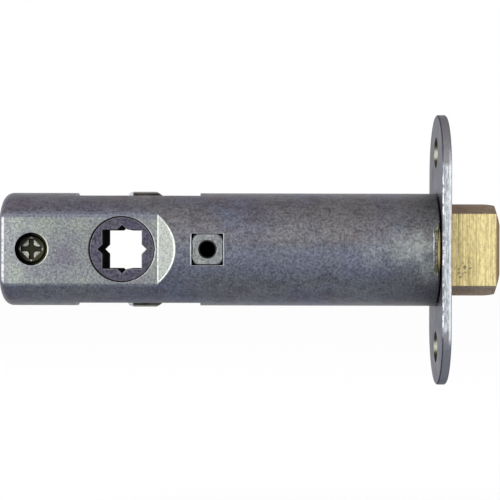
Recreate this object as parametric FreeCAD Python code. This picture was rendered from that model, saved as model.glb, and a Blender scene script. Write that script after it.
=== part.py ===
import FreeCAD, Part
import math
import os

# A tubular door latch. Lengths are in millimetres. The origin is the middle of the faceplate's front face,
# on the bolt's axis: +X points out of the door's edge, +Z runs up the faceplate, and the spindle lies along Y.
# The near side is -Y and the far side is +Y.

# Stations along the barrel, measured back from the faceplate's front
backset = 70.0
post_station = 51.7
screw_station = 89.35
barrel_end = 96.4

# How far the retractor draws the bolt back
throw = 10.8

# Faceplate
plate_length = 59.0
plate_width = 25.0
plate_thickness = 2.0
plate_edge = 0.25
plate_screw_spacing = 42.5
plate_hole_dia = 6.8
plate_sink_dia = 9.2

# Barrel, cast in two halves that part on the plane of the bolt's axis
barrel_dia = 24.6
barrel_wall = 1.4
rear_wall = 1.8
rear_rim_radius = 2.2
front_gap = 0.4
flat_across = 19.8
flat_length = 34.05
facet_run = 3.75
flat_rim = 0.45
seat_width = 9.0
tenon_width = 6.0
tenon_inset = 0.15
tenon_recess = 0.05

# Torn break at the near half's front lip, from its top to its bottom corner: the wall's skin has come away,
# and within that a shallower bite goes right through the wall
break_top = 5.7
break_bottom = 6.0
break_skin = 0.55
skin_depths = (1.1, 1.35, 1.28, 1.4, 1.3, 1.38, 1.15)
bite_depths = (0.08, 0.2, 0.4, 0.58, 0.45, 0.26, 0.1)

# Slots in the top and bottom of the barrel, which the retractor's hooks ride in
slot_width = 8.0
slot_front_station = 53.5

# Square post of the far half, with the bore for the trim's fixing bolt, and its window in the near half
post_side = 6.3
post_corner = 1.05
post_bore_dia = 4.0
post_bore_depth = 20.0
post_crown = 0.5
post_below = 0.15
window_clearance = 0.25

# Screw that clamps the halves at the rear
screw_head_dia = 6.0
screw_head_height = 1.6
screw_head_edge = 0.45
screw_below = 0.3
screw_shank_dia = 3.4
screw_shank_length = 14.0
screw_counterbore_dia = 7.0
screw_boss_dia = 7.5
recess_span = 4.6
recess_arm = 1.05
recess_depth = 1.15
recess_core_dia = 2.3

# Follower hub
journal_dia = 13.9
journal_below = 0.05
journal_edge = 0.2
collar_dia = 15.4
collar_inner = 4.2
collar_outer = 7.25
drum_dia = 12.6
star_square = 8.4
star_diamond = 7.4
wing_width = 6.0
wing_gap = 0.3
wing_nose = 1.0
wing_root_front = 5.6
wing_root_drop = 2.0
wing_play = 0.6
bearing_boss_dia = 18.0

# Retractor, a U of steel strip with a hook at the end of each arm
strip_thickness = 1.3
strip_width = 6.6
hook_rear_station = 69.3
hook_front_station = 63.0
hook_proud = 0.3
lip_clearance = 0.3
arm_clearance = 0.18
hook_ramp_deg = 36.0
bend_radius = 1.6
web_station = 23.6
web_disc_dia = 14.0

# Latch bolt, a round bar with two flats, a stop flange and a bevel on the far side
bolt_thickness = 12.7
bolt_projection = 11.1
bolt_end_set = 0.75
bolt_end_drop = 2.2
bolt_edge_round = 0.7
bolt_tip_land = 2.2
bevel_start = 1.0
flange_clearance = 0.3
flange_lip = 0.6
flange_length = 4.0
flange_gap = 0.2
spring_pocket_dia = 9.4
spring_pocket_depth = 5.7

# Draw rod, screwed into the bolt from behind the retractor's web
rod_dia = 4.0
rod_grip = 3.5
rod_head_dia = 8.0
rod_head_height = 1.5
rod_slot_width = 1.0
rod_slot_depth = 0.7
washer_dia = 11.0
washer_thickness = 0.8

# Springs, whose coils are made of straight runs, and the pins that guide the two return springs
coil_sides = 6
wire_sides = 5
mitred_corners = 1
bolt_wire = 0.9
bolt_coil_dia = 8.6
bolt_coil_turns = 5
return_wire = 0.6
return_coil_dia = 3.6
return_coil_turns = 6
pin_dia = 1.6
pin_seat = 1.1
pin_length = 13.0

# Clearances between pieces
running = 0.08
bolt_clearance = 0.15
loose = 0.1
seat_gap = 0.05
slot_end_gap = 0.2

# Lengths that follow from the sizes above
far_out = 2 * plate_length
barrel_radius = barrel_dia / 2
bore_radius = barrel_radius - barrel_wall
flat_half = flat_across / 2
plate_back = -plate_thickness
barrel_front = plate_back - front_gap
flat_front = flat_length - barrel_end
facet_angle = math.atan2(barrel_radius - flat_half, facet_run)
hook_height = barrel_radius + hook_proud
hook_lip_bottom = drum_dia / 2 + lip_clearance
arm_height = math.sqrt((bore_radius - arm_clearance) ** 2 - (strip_width / 2) ** 2)
wing_reach = hook_height - strip_thickness - wing_gap
return_height = bore_radius - return_coil_dia / 2 - loose
flange_radius = bore_radius - flange_clearance
bolt_radius = flange_radius - flange_lip
slot_rear = -(hook_rear_station + throw + slot_end_gap)
web_back = -(web_station + strip_thickness)
flange_front = plate_back - flange_gap
flange_back = flange_front - flange_length
pocket_end = flange_back + spring_pocket_depth
washer_front = -web_station + washer_thickness
head_seat = screw_below + screw_head_height - flat_half


def vec(x, y, z):
    return FreeCAD.Vector(x, y, z)


def box(x0, x1, y0, y1, z0, z1):
    return Part.makeBox(x1 - x0, y1 - y0, z1 - z0, vec(x0, y0, z0))


def along_x(radius, x0, x1, z=0.0):
    return Part.makeCylinder(radius, x1 - x0, vec(x0, 0, z), vec(1, 0, 0))


def along_y(radius, y0, y1, x):
    return Part.makeCylinder(radius, y1 - y0, vec(x, y0, 0), vec(0, 1, 0))


# A closed face from corners given as (u, v, radius): each corner is rounded by a tangent arc of its radius.
# place turns a pair (u, v) into a point in space.
def rounded_face(corners, place):
    marks = []
    for i, (u, v, radius) in enumerate(corners):
        here = place(u, v)
        to_last = place(*corners[i - 1][:2]) - here
        to_next = place(*corners[(i + 1) % len(corners)][:2]) - here
        to_last.normalize()
        to_next.normalize()
        half = to_last.getAngle(to_next) / 2
        if radius == 0:
            marks.append((here, None, here))
            continue
        inward = to_last + to_next
        inward.normalize()
        set_back = radius / math.tan(half)
        middle = here + inward * (radius / math.sin(half) - radius)
        marks.append((here + to_last * set_back, middle, here + to_next * set_back))
    edges = []
    for i, (start, middle, end) in enumerate(marks):
        if middle is not None:
            edges.append(Part.Arc(start, middle, end).toShape())
        edges.append(Part.LineSegment(end, marks[(i + 1) % len(marks)][0]).toShape())
    return Part.Face(Part.Wire(edges))


def on_xz(x, z):
    return vec(x, 0, z)


def on_xy(x, y):
    return vec(x, y, 0)


def prism(face, direction, start, end):
    body = face.extrude(direction * (end - start))
    body.translate(direction * start)
    return body


# Part of a tube's wall about the X axis, kept to a width about the middle at the top and bottom.
def wall_sector(inner, outer, width, x0, x1):
    ring = along_x(outer, x0, x1).cut(along_x(inner, x0, x1))
    return ring.common(box(x0, x1, -width / 2, width / 2, -far_out, far_out))


def save(name, shape):
    shape = shape.removeSplitter()
    solids = shape.Solids
    body = solids[0] if len(solids) == 1 else Part.makeCompound(solids)
    body.exportStep("parts/" + name + ".step")
    print(name, len(solids), "solid", round(body.Volume, 1), "mm3", body.isValid())


# The bolt's own cross-section, a round bar between two flats, grown all round by a clearance.
def bolt_section(clearance, x0, x1):
    half = bolt_thickness / 2 + clearance
    bar = along_x(bolt_radius + clearance, x0, x1)
    return bar.common(box(x0, x1, -half, half, -far_out, far_out))


def make_faceplate():
    half = plate_width / 2
    end_centre = plate_length / 2 - half
    ends = [along_x(half, plate_back, 0, end * end_centre) for end in (-1, 1)]
    plate = box(plate_back, 0, -half, half, -end_centre, end_centre).fuse(ends).removeSplitter()
    rims = [edge for edge in plate.Edges if edge.BoundBox.XLength < plate_edge]
    plate = plate.makeChamfer(plate_edge, rims)
    plate = plate.cut(bolt_section(bolt_clearance, plate_back, 0))
    sink_depth = (plate_sink_dia - plate_hole_dia) / 2
    for end in (-1, 1):
        place = vec(-sink_depth, 0, end * plate_screw_spacing / 2)
        sink = Part.makeCone(plate_hole_dia / 2, plate_sink_dia / 2, sink_depth, place, vec(1, 0, 0))
        plate = plate.cut(along_x(plate_hole_dia / 2, plate_back, 0, place.z)).cut(sink)
    tenon_outer = barrel_radius - tenon_inset + loose
    slots = wall_sector(bore_radius, tenon_outer, tenon_width + 2 * loose, plate_back, 0)
    return plate.cut(slots)


# The barrel's form: a round bar with a flat on each side at the rear, each flat running out up an inclined facet.
# inset draws every face in by a wall, for the hollow inside.
def barrel_form(inset, front, rear, rim_radius, flat_rim_size):
    radius = barrel_radius - inset
    flat = flat_half - inset
    profile = [(front, 0, 0), (front, radius, 0), (rear, radius, rim_radius), (rear, 0, 0)]
    body = rounded_face(profile, on_xz).revolve(vec(0, 0, 0), vec(1, 0, 0), 360)
    facet_foot = flat_front + inset * math.tan(facet_angle / 2)
    out = 2 * facet_run
    facet_top = facet_foot + (barrel_radius - flat_half + out) / math.tan(facet_angle)
    for side in (-1, 1):
        waste = [(rear, flat - flat_rim_size, 0), (rear + flat_rim_size, flat, 0), (facet_foot, flat, 0),
                 (facet_top, radius + out, 0), (rear - out, radius + out, 0),
                 (rear - out, flat - flat_rim_size, 0)]
        if flat_rim_size == 0:
            waste = waste[1:]
        face = rounded_face([(x, side * y, r) for x, y, r in waste], on_xy)
        body = body.cut(prism(face, vec(0, 0, 1), -far_out, far_out))
    return body


def make_case_half(side):
    outside = barrel_form(0, barrel_front, -barrel_end, rear_rim_radius, flat_rim)
    hollow = barrel_form(barrel_wall, barrel_front, -barrel_end + rear_wall, 0, 0)
    case = outside.cut(hollow)

    # Bearing bosses round the hub's journals, and the boss that the clamping screw runs through
    bearing_inner = collar_outer + seat_gap
    bearing = along_y(bearing_boss_dia / 2, -flat_half, flat_half, -backset)
    bearing = bearing.cut(along_y(bearing_boss_dia / 2, -bearing_inner, bearing_inner, -backset))
    boss = along_y(screw_boss_dia / 2, -flat_half, flat_half, -screw_station)
    case = case.fuse([bearing.common(outside), boss])
    case = case.cut(along_y(journal_dia / 2 + running, -far_out, far_out, -backset))

    # Seats at the front that meet the faceplate's back, and tenons staked into the faceplate
    seats = wall_sector(bore_radius, barrel_radius, seat_width, barrel_front, plate_back)
    tenon_inner = bore_radius + loose
    tenons = wall_sector(tenon_inner, barrel_radius - tenon_inset, tenon_width, plate_back, -tenon_recess)
    case = case.fuse([seats, tenons])

    slot_half = slot_width / 2
    slot_floor = math.sqrt(bore_radius ** 2 - slot_half ** 2) - barrel_wall
    for end in (-1, 1):
        low, high = sorted((end * slot_floor, end * far_out))
        case = case.cut(box(slot_rear, -slot_front_station, -slot_half, slot_half, low, high))
        seat = along_x(pin_dia / 2 + seat_gap, -barrel_end + rear_wall - pin_seat, -barrel_end + rear_wall,
                       end * return_height)
        case = case.cut(seat)

    low, high = sorted((0, side * far_out))
    half = case.common(box(-far_out, far_out, low, high, -far_out, far_out))
    return finish_near_half(half) if side < 0 else finish_far_half(half)


# The near half has the screw's counterbore, the post's window and the torn lip.
def finish_near_half(half):
    half = half.cut(along_y(screw_counterbore_dia / 2, -far_out, head_seat, -screw_station))
    half = half.cut(along_y(screw_shank_dia / 2 + loose, -far_out, 0, -screw_station))
    window = post_side / 2 + window_clearance
    half = half.cut(box(-post_station - window, -post_station + window, -far_out, 0, -window, window))
    under_skin = along_x(barrel_radius - break_skin, -far_out, far_out)
    return half.cut([torn_prism(skin_depths).cut(under_skin), torn_prism(bite_depths)])


# What a torn lip has lost: a ragged edge at the given depths behind the barrel's front, right out to the near side.
def torn_prism(depths):
    pitch = (break_top + break_bottom) / (len(depths) - 1)
    torn = [(barrel_front - depth, break_top - i * pitch, 0) for i, depth in enumerate(depths)]
    torn += [(0, -break_bottom, 0), (0, break_top, 0)]
    return prism(rounded_face(torn, on_xz), vec(0, 1, 0), -far_out, 0)


# The far half has the threaded hole for the screw, and the square post cast with it.
def finish_far_half(half):
    thread_end = head_seat + screw_shank_length + loose
    half = half.cut(along_y(screw_shank_dia / 2 + seat_gap, 0, thread_end, -screw_station))
    reach = post_below - barrel_radius
    side = post_side / 2
    corners = [(-post_station - side, -side, post_corner), (-post_station + side, -side, post_corner),
               (-post_station + side, side, post_corner), (-post_station - side, side, post_corner)]
    post = prism(rounded_face(corners, on_xz), vec(0, 1, 0), reach, bore_radius + barrel_wall / 2)

    # The post's end is spun round, so its four corners fall away
    crown_radius = side + post_crown
    crown_depth = math.hypot(side, side) - crown_radius
    crown = Part.makeCone(crown_radius, crown_radius + crown_depth, crown_depth,
                          vec(-post_station, reach, 0), vec(0, 1, 0))
    shank = along_y(far_out, reach + crown_depth, far_out, -post_station)
    half = half.fuse(post.common(crown.fuse(shank)))
    return half.cut(along_y(post_bore_dia / 2, -far_out, reach + post_bore_depth, -post_station))


def make_case_screw():
    top = screw_below - flat_half
    head = along_y(screw_head_dia / 2, top, head_seat, -screw_station)
    rim = [edge for edge in head.Edges if edge.BoundBox.YMax < top + screw_head_edge]
    head = head.makeChamfer(screw_head_edge, rim)
    screw = head.fuse(along_y(screw_shank_dia / 2, head_seat, head_seat + screw_shank_length, -screw_station))
    span = recess_span / 2
    arm = recess_arm / 2
    foot = top + recess_depth
    screw = screw.cut(box(-screw_station - span, -screw_station + span, top, foot, -arm, arm))
    screw = screw.cut(box(-screw_station - arm, -screw_station + arm, top, foot, -span, span))
    core = Part.makeCone(recess_core_dia / 2, arm, recess_depth, vec(-screw_station, top, 0), vec(0, 1, 0))
    return screw.cut(core)


# The hub: a drum with a wing up and a wing down, a collar on each side and a journal at each end.
def make_hub():
    journal_end = flat_half - journal_below
    journal = along_y(journal_dia / 2, -journal_end, journal_end, -backset)
    rims = [edge for edge in journal.Edges if edge.BoundBox.YLength < journal_edge]
    hub = journal.makeChamfer(journal_edge, rims)
    hub = hub.cut(along_y(journal_dia / 2, -collar_inner, collar_inner, -backset))
    hub = hub.fuse(along_y(drum_dia / 2, -collar_inner, collar_inner, -backset))
    collars = along_y(collar_dia / 2, -collar_outer, collar_outer, -backset)
    hub = hub.fuse(collars.cut(along_y(collar_dia / 2, -collar_inner, collar_inner, -backset)))

    # Each wing has an upright rear flank, so its nose pushes the hook's lip back as the hub turns
    lip_front = backset - hook_rear_station + strip_thickness
    nose_arm = wing_reach - wing_nose
    nose_x = lip_front + wing_play + wing_nose
    nose_z = math.sqrt(nose_arm ** 2 - nose_x ** 2)
    for end in (-1, 1):
        outline = [(nose_x - wing_nose, 0), (nose_x - wing_nose, nose_z), (nose_x + wing_nose, nose_z),
                   (wing_root_front, wing_root_drop), (wing_root_front, 0)]
        face = rounded_face([(x - backset, end * z, 0) for x, z in outline], on_xz)
        wing = prism(face, vec(0, 1, 0), -wing_width / 2, wing_width / 2)
        nose = Part.makeCylinder(wing_nose, wing_width, vec(nose_x - backset, -wing_width / 2, end * nose_z),
                                 vec(0, 1, 0))
        hub = hub.fuse([wing, nose])

    square = box(-star_square / 2, star_square / 2, -far_out, far_out, -star_square / 2, star_square / 2)
    diamond = box(-star_diamond / 2, star_diamond / 2, -far_out, far_out, -star_diamond / 2, star_diamond / 2)
    diamond.rotate(vec(0, 0, 0), vec(0, 1, 0), 45)
    for hole in (square, diamond):
        hole.translate(vec(-backset, 0, 0))
        hub = hub.cut(hole)
    return hub


# The retractor's outline seen from the side: out along one arm and hook, round the web and back along the other.
def make_retractor():
    ramp = math.radians(hook_ramp_deg)
    inner_bend = bend_radius - strip_thickness
    shift = strip_thickness * math.tan(ramp / 2)
    ramp_foot = -hook_front_station + (hook_height - arm_height) / math.tan(ramp)
    lip_rear = -hook_rear_station
    lip_front = lip_rear + strip_thickness
    hook_under = hook_height - strip_thickness
    arm_under = arm_height - strip_thickness
    outer = [(lip_rear, hook_lip_bottom, 0), (lip_rear, hook_height, bend_radius),
             (-hook_front_station, hook_height, bend_radius), (ramp_foot, arm_height, inner_bend),
             (-web_station, arm_height, bend_radius)]
    inner = [(web_back, arm_under, inner_bend), (ramp_foot - shift, arm_under, bend_radius),
             (-hook_front_station - shift, hook_under, inner_bend), (lip_front, hook_under, inner_bend),
             (lip_front, hook_lip_bottom, 0)]
    lower_outer = [(x, -z, r) for x, z, r in reversed(outer)]
    lower_inner = [(x, -z, r) for x, z, r in reversed(inner)]
    face = rounded_face(outer + lower_outer + lower_inner + inner, on_xz)
    strap = prism(face, vec(0, 1, 0), -strip_width / 2, strip_width / 2)

    # The hooks are crowned about the barrel's axis, so that they pass down the bore in the door's edge
    strap = strap.common(along_x(hook_height, lip_rear, -web_station))
    strap = strap.fuse(along_x(web_disc_dia / 2, web_back, -web_station))
    return strap.cut(along_x(rod_dia / 2 + loose, web_back, -web_station))


def make_latch_bolt():
    tip = bolt_projection
    profile = [(flange_front, 0, 0), (flange_front, bolt_radius, 0), (tip - bolt_end_set, bolt_radius, 0),
               (tip, bolt_radius - bolt_end_drop, bolt_edge_round), (tip, 0, 0)]
    bar = rounded_face(profile, on_xz).revolve(vec(0, 0, 0), vec(1, 0, 0), 360)

    # Seen from above: square to the near side, and bevelled back from a narrow land on the far side
    half = bolt_thickness / 2
    land = bolt_edge_round + bolt_tip_land - half
    plan = [(flange_front, -half, 0), (tip, -half, bolt_edge_round), (tip, land, bolt_edge_round),
            (bevel_start, half, bolt_edge_round), (flange_front, half, 0)]
    bolt = bar.common(prism(rounded_face(plan, on_xy), vec(0, 0, 1), -far_out, far_out))
    bolt = bolt.fuse(along_x(flange_radius, flange_back, flange_front))
    bolt = bolt.cut(along_x(spring_pocket_dia / 2, flange_back, pocket_end))
    return bolt.cut(along_x(rod_dia / 2 + seat_gap, flange_back, pocket_end + rod_grip + seat_gap))


def make_draw_rod():
    head_front = web_back - seat_gap
    head_back = head_front - rod_head_height
    rod = along_x(rod_dia / 2, head_front, pocket_end + rod_grip)
    rod = rod.fuse(along_x(rod_head_dia / 2, head_back, head_front))
    half = rod_slot_width / 2
    return rod.cut(box(head_back, head_back + rod_slot_depth, -far_out, far_out, -half, half))


def make_washer():
    washer = along_x(washer_dia / 2, -web_station, washer_front)
    return washer.cut(along_x(rod_dia / 2 + loose, -web_station, washer_front))


# A compression spring along X between two seats: a wire mitred from run to run along the coil.
def make_spring(coil_dia, wire, turns, x_rear, x_front, z):
    radius = (coil_dia - wire) / 2
    start = x_rear + wire / 2 + seat_gap
    length = x_front - x_rear - wire - 2 * seat_gap
    runs = turns * coil_sides
    points = []
    for i in range(runs + 1):
        angle = 2 * math.pi * i / coil_sides
        points.append(vec(start + length * i / runs, radius * math.cos(angle), z + radius * math.sin(angle)))
    ahead = points[1] - points[0]
    section = Part.makeCircle(wire / 2, points[0], ahead).discretize(wire_sides + 1)
    coil = Part.BRepOffsetAPI.MakePipeShell(Part.makePolygon(points))
    coil.setTransitionMode(mitred_corners)
    coil.add(Part.makePolygon(section))
    coil.build()
    coil.makeSolid()
    return coil.shape()


def make_guide_pin(z):
    root = -barrel_end + rear_wall - pin_seat
    return along_x(pin_dia / 2, root, root + pin_length, z)


os.makedirs("parts", exist_ok=True)
save("faceplate", make_faceplate())
save("case_near_half", make_case_half(-1))
save("case_far_half", make_case_half(1))
save("case_screw", make_case_screw())
save("follower_hub", make_hub())
save("retractor", make_retractor())
save("latch_bolt", make_latch_bolt())
save("draw_rod", make_draw_rod())
save("spring_washer", make_washer())
save("bolt_spring", make_spring(bolt_coil_dia, bolt_wire, bolt_coil_turns, washer_front, pocket_end, 0))
for end, name in ((1, "upper"), (-1, "lower")):
    height = end * return_height
    save(name + "_spring_pin", make_guide_pin(height))
    save(name + "_return_spring", make_spring(return_coil_dia, return_wire, return_coil_turns,
                                              -barrel_end + rear_wall, -hook_rear_station, height))
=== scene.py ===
import math
import bpy
import numpy as np
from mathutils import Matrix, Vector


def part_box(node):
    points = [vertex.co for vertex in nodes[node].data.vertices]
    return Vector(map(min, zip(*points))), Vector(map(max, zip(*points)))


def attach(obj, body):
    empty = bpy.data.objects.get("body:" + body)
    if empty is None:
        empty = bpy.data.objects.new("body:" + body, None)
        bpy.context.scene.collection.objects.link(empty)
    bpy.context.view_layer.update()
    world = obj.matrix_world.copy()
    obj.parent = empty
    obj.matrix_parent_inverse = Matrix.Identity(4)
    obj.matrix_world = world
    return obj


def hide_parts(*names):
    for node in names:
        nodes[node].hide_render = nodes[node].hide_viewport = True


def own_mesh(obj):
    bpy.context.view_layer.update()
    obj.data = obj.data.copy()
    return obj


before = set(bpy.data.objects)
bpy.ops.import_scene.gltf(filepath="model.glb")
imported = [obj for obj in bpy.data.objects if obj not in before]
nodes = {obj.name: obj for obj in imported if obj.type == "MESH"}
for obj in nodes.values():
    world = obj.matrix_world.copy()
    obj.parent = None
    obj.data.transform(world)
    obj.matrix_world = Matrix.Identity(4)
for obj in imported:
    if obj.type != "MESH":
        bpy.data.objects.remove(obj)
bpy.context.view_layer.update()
mm = 0.001
print("frame loaded:", len(nodes), "nodes")


# Helpers for shader trees

def feed(socket, value):
    if isinstance(value, bpy.types.NodeSocket):
        socket.id_data.links.new(value, socket)
    else:
        socket.default_value = value


def put(tree, kind, inputs=None, **settings):
    node = tree.nodes.new("ShaderNode" + kind)
    for name, value in settings.items():
        setattr(node, name, value)
    for name, value in (inputs or {}).items():
        feed(node.inputs[name], value)
    return node


# A node in the tree of the sockets that feed it
def join(kind, inputs, **settings):
    tree = next(value.id_data for value in inputs.values() if isinstance(value, bpy.types.NodeSocket))
    return put(tree, kind, inputs, **settings)


def calc(operation, first, second=0.0, clamp=False):
    return join("Math", {0: first, 1: second}, operation=operation, use_clamp=clamp).outputs[0]


# One operation over any number of values, from left to right
def chain(operation, values):
    total, *others = values
    for value in others:
        total = calc(operation, total, value)
    return total


def times(*values):
    return chain("MULTIPLY", values)


def plus(*values):
    return chain("ADD", values)


def largest(*values):
    return chain("MAXIMUM", values)


def minus(first, second):
    return calc("SUBTRACT", first, second)


def inverse(mask):
    return minus(1.0, mask)


def absolute(value):
    return calc("ABSOLUTE", value)


def blend(factor, first, second, mode="MIX"):
    inputs = {0: factor, 6: first, 7: second}
    return join("Mix", inputs, data_type="RGBA", blend_type=mode).outputs[2]


# A colour under layers, each with its mask and its own colour
def layered(color, *layers):
    for mask, over in layers:
        color = blend(mask, color, over)
    return color


# A colour times a value
def scaled(color, value):
    grey = join("CombineColor", {0: value, 1: value, 2: value}).outputs[0]
    return blend(1.0, color, grey, "MULTIPLY")


# Smooth step of a value from low (gives start) to high (gives end)
def step(value, low, high, start=0.0, end=1.0):
    inputs = {0: value, 1: low, 2: high, 3: start, 4: end}
    return join("MapRange", inputs, interpolation_type="SMOOTHSTEP").outputs[0]


def ranged(value, start, end):
    return step(value, 0.0, 1.0, start, end)


def noise(vector, scale, detail=3.0, roughness=0.55):
    inputs = {"Vector": vector, "Scale": scale, "Detail": detail, "Roughness": roughness}
    return join("TexNoise", inputs).outputs["Fac"]


def stretch(vector, scale):
    return join("Mapping", {"Vector": vector, "Scale": scale}).outputs[0]


# Noise in spots that are drawn out up and down
def tallSpots(place, squeeze, *field):
    return noise(stretch(place, (1.0, 1.0, squeeze)), *field)


def rgb(red, green, blue):
    return (red, green, blue, 1.0)


def vectors(operation, *inputs):
    return join("VectorMath", dict(enumerate(inputs)), operation=operation).outputs


def split(place):
    return join("SeparateXYZ", {0: place}).outputs


def span(x, y, z):
    corner = join("CombineXYZ", {0: x, 1: y, 2: z}).outputs[0]
    return vectors("LENGTH", corner)["Value"]


def fromPoint(place, point):
    return vectors("DISTANCE", place, point)["Value"]


# How far a place lies from a line along Y through x and z
def fromAxis(place, x, z=0.0):
    axes = split(place)
    return span(minus(axes[0], x), 0.0, minus(axes[2], z))


# 1 on a line of the given half width where a value passes a level, with soft sides
def lineAt(value, level, half):
    return step(absolute(minus(value, level)), half * 1.35, half * 0.6)


# A node group with named inputs and outputs: Vector and Normal are vectors, the rest are floats
def newGroup(name, inputs, outputs):
    tree = bpy.data.node_groups.new(name, "ShaderNodeTree")
    for side, labels in (("INPUT", inputs), ("OUTPUT", outputs)):
        for label in labels:
            kind = "NodeSocketVector" if label in ("Vector", "Normal") else "NodeSocketFloat"
            tree.interface.new_socket(label, in_out=side, socket_type=kind)
    return tree, tree.nodes.new("NodeGroupInput").outputs, tree.nodes.new("NodeGroupOutput").inputs


skinFields = {
    "shift": (0.31, 0.17, 0.53),   # moves a second field away from the first
    # share of the scale, detail, roughness, and the noise that gives 0 and 1
    "Blotch": (1.0, 5.0, 0.62, 0.3, 0.7),
    "Tint": (0.55, 3.0, 0.5, 0.35, 0.65),
    "Mottle": (3.6, 6.0, 0.68, 0.4, 0.68),
    "Grain": (0.5, 6.0, 0.8, 0.36, 0.64),
    "pitted": (2.5, 2.0, 0.55, 0.5, 0.62),
    "pitShare": 0.45,
    "pitEdge": (0.22, 0.08),
}


# Cast skin: wide blotches, a second field for tint, fine grain and sparse dark pits
def makeCastSkin():
    tree, given, out = newGroup("castSkin", ["Vector", "Blotch size", "Grain size"],
                                ["Blotch", "Tint", "Mottle", "Grain", "Pit"])

    def field(name, where, scale):
        share, detail, roughness, low, high = skinFields[name]
        return step(noise(where, times(scale, share), detail, roughness), low, high)

    place = given["Vector"]
    shifted = vectors("ADD", place, skinFields["shift"])["Vector"]
    wide = calc("DIVIDE", 1.0, given["Blotch size"])
    fine = calc("DIVIDE", 1.0, given["Grain size"])
    cells = join("TexVoronoi", {"Vector": place, "Scale": times(fine, skinFields["pitShare"])})
    pits = step(cells.outputs["Distance"], *skinFields["pitEdge"])
    feed(out["Blotch"], field("Blotch", place, wide))
    feed(out["Tint"], field("Tint", shifted, wide))
    feed(out["Mottle"], field("Mottle", shifted, wide))
    feed(out["Grain"], field("Grain", place, fine))
    feed(out["Pit"], times(pits, field("pitted", shifted, wide)))
    return tree


# Edge wear: a rounded normal, and a mask where it turns away from the face's own normal, broken up by noise
def makeEdgeWear():
    tree, given, out = newGroup("edgeWear", ["Vector", "Radius", "Break-up"], ["Mask", "Normal"])
    soft = join("Bevel", {"Radius": given["Radius"]}, samples=6).outputs[0]
    plain = put(tree, "NewGeometry").outputs["Normal"]
    turned = step(vectors("DOT_PRODUCT", soft, plain)["Value"], 0.985, 0.86)
    chips = step(noise(given["Vector"], 1400.0, 3.0, 0.65), 0.42, 0.6)
    kept = inverse(times(given["Break-up"], inverse(chips)))
    feed(out["Mask"], times(turned, kept))
    feed(out["Normal"], soft)
    return tree


# Grime and painted shade: darkens where a point is shut in by what is around it
def makeGrimeAndShade():
    tree, given, out = newGroup("grimeAndShade", ["Vector", "Reach", "Amount"], ["Mask"])
    openness = join("AmbientOcclusion", {"Distance": given["Reach"]}, samples=6).outputs["AO"]
    uneven = step(noise(given["Vector"], 700.0, 3.0, 0.6), 0.2, 0.7, 0.45, 1.0)
    shut = times(step(openness, 0.92, 0.35), uneven)
    feed(out["Mask"], calc("MULTIPLY", shut, given["Amount"], clamp=True))
    return tree


# Brushing: long lines along the vector's Z, coarse and fine, both from noise that is stretched out
def makeBrushing():
    tree, given, out = newGroup("brushing", ["Vector", "Line width", "Length"], ["Lines", "Fine"])
    scale = calc("DIVIDE", 1.0, given["Line width"])
    slow = calc("DIVIDE", 1.0, given["Length"])
    drawn = join("CombineXYZ", {0: 1.0, 1: 1.0, 2: slow}).outputs[0]
    field = vectors("MULTIPLY", given["Vector"], drawn)["Vector"]
    feed(out["Lines"], step(noise(field, scale, 2.0, 0.6), 0.28, 0.72))
    feed(out["Fine"], step(noise(field, times(scale, 3.1), 1.0, 0.5), 0.25, 0.75))
    return tree


castSkin = makeCastSkin()
edgeWear = makeEdgeWear()
grimeAndShade = makeGrimeAndShade()
brushing = makeBrushing()


# The groups placed in a material, with their lengths in mm. A look's skin, wear, dirt with painted shade, and
# lines hold these values.

def skinOn(place, blotch, grain):
    inputs = {"Vector": place, "Blotch size": blotch * mm, "Grain size": grain * mm}
    return join("Group", inputs, node_tree=castSkin).outputs


def wearOn(place, radius, breakUp):
    inputs = {"Vector": place, "Radius": radius * mm, "Break-up": breakUp}
    return join("Group", inputs, node_tree=edgeWear).outputs


def dirtAndShadeOn(place, reach, amount):
    inputs = {"Vector": place, "Reach": reach * mm, "Amount": amount}
    return join("Group", inputs, node_tree=grimeAndShade).outputs["Mask"]


def linesOn(place, width, length):
    inputs = {"Vector": place, "Line width": width * mm, "Length": length}
    return join("Group", inputs, node_tree=brushing).outputs


# A material with its Principled BSDF and object coordinates
def newMaterial(name, **constants):
    material = bpy.data.materials.new(name)
    material.use_nodes = True
    shader = material.node_tree.nodes["Principled BSDF"]
    for label, value in constants.items():
        shader.inputs[label.replace("_", " ")].default_value = value
    return material, shader, put(material.node_tree, "TexCoord").outputs["Object"]


# Colour, roughness and relief; a look's bump is its strength and distance
def surface(shader, look, color, rough, height, normal=None):
    strength, distance = look["bump"]
    bump = join("Bump", {"Height": height, "Strength": strength, "Distance": distance})
    if normal is not None:
        feed(bump.inputs["Normal"], normal)
    feed(shader.inputs["Base Color"], color)
    feed(shader.inputs["Roughness"], rough)
    feed(shader.inputs["Normal"], bump.outputs[0])


def attribute(shader, name):
    return put(shader.id_data, "Attribute", attribute_name=name).outputs["Fac"]


def dress(material, *names):
    for name in names:
        nodes[name].data.materials.clear()
        nodes[name].data.materials.append(material)


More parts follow.
